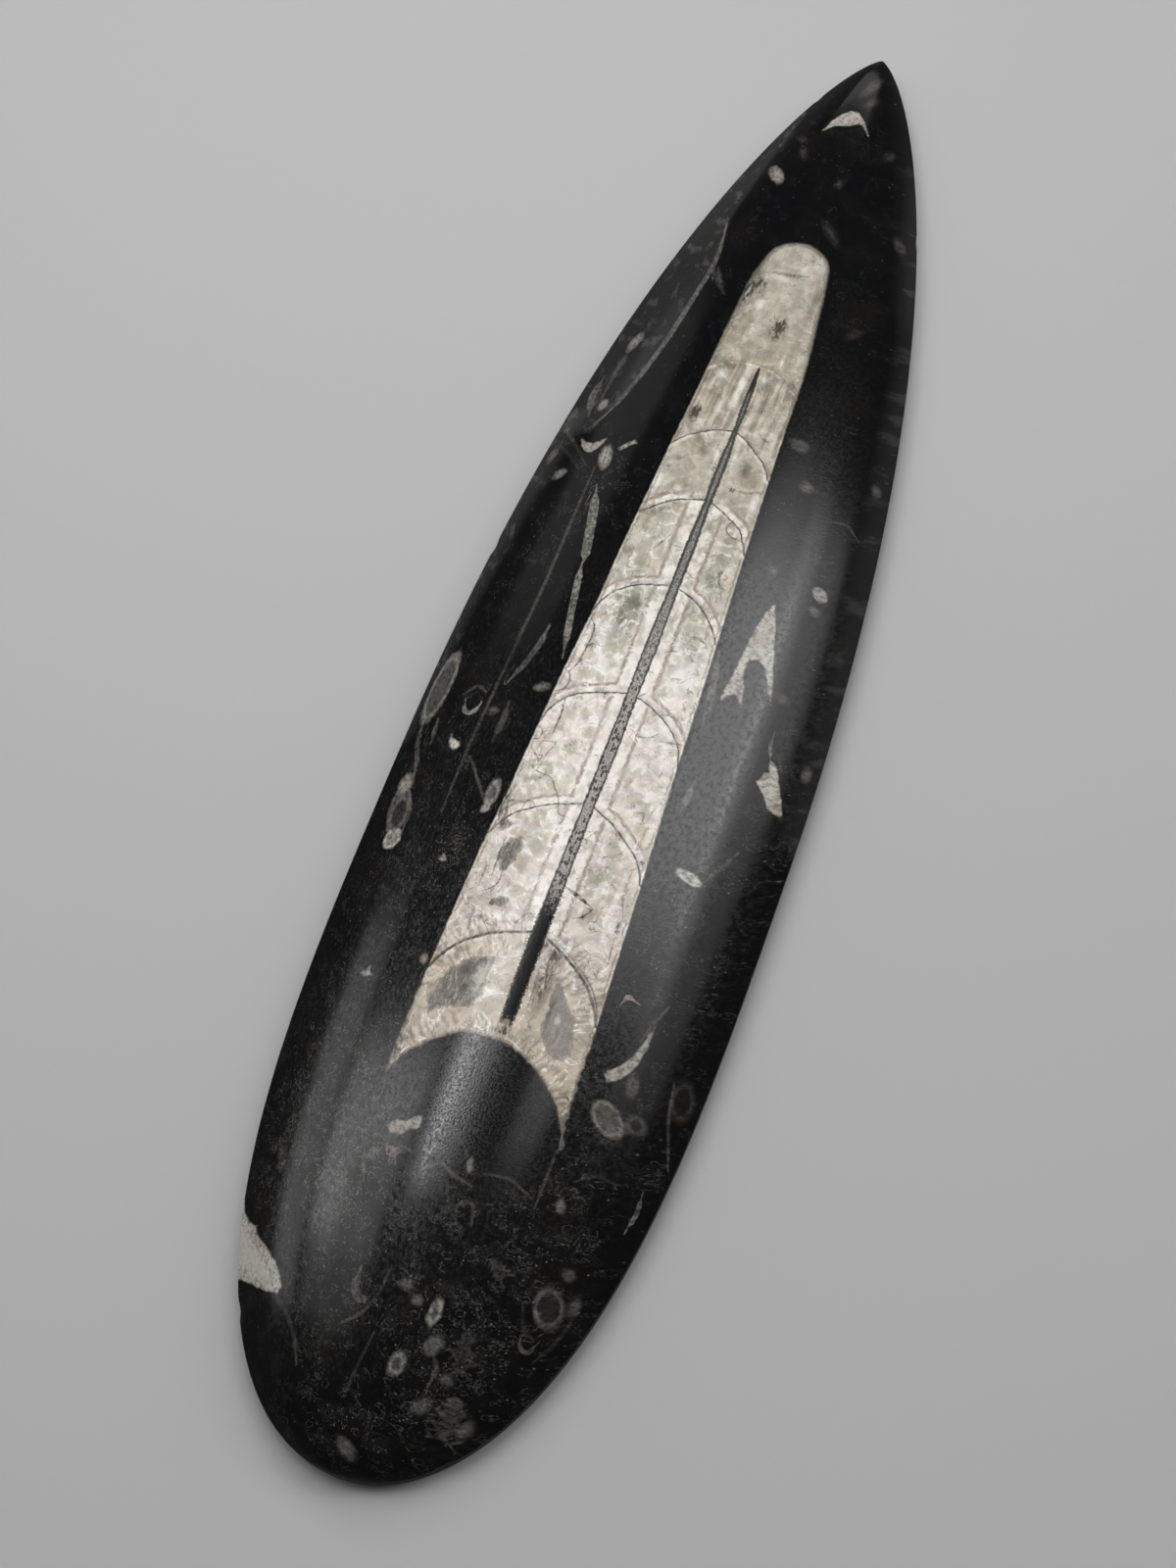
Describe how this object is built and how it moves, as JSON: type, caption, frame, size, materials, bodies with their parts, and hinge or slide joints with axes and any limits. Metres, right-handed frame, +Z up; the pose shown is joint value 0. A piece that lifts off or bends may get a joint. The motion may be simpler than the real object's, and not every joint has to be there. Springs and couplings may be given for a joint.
{
  "type": "orthoceras fossil",
  "caption": "Polished black limestone slab in a pointed leaf shape with a domed top and flat base, showing a white straight-shelled cephalopod cut lengthwise.",
  "frame": {"origin": "middle of the flat base, at the centre of the slab's length and width", "axes": "+Y along the slab towards its point, +X to the right seen from above with the point away, +Z up out of the domed top"},
  "size_m": [0.0368, 0.15, 0.01],
  "materials": {
    "fossil_limestone": "satin-polished black limestone with a cream-white calcite shell and small pale shell fragments"
  },
  "bodies": {
    "root": {"fossil_slab": "fossil_limestone"}
  },
  "joints": []
}
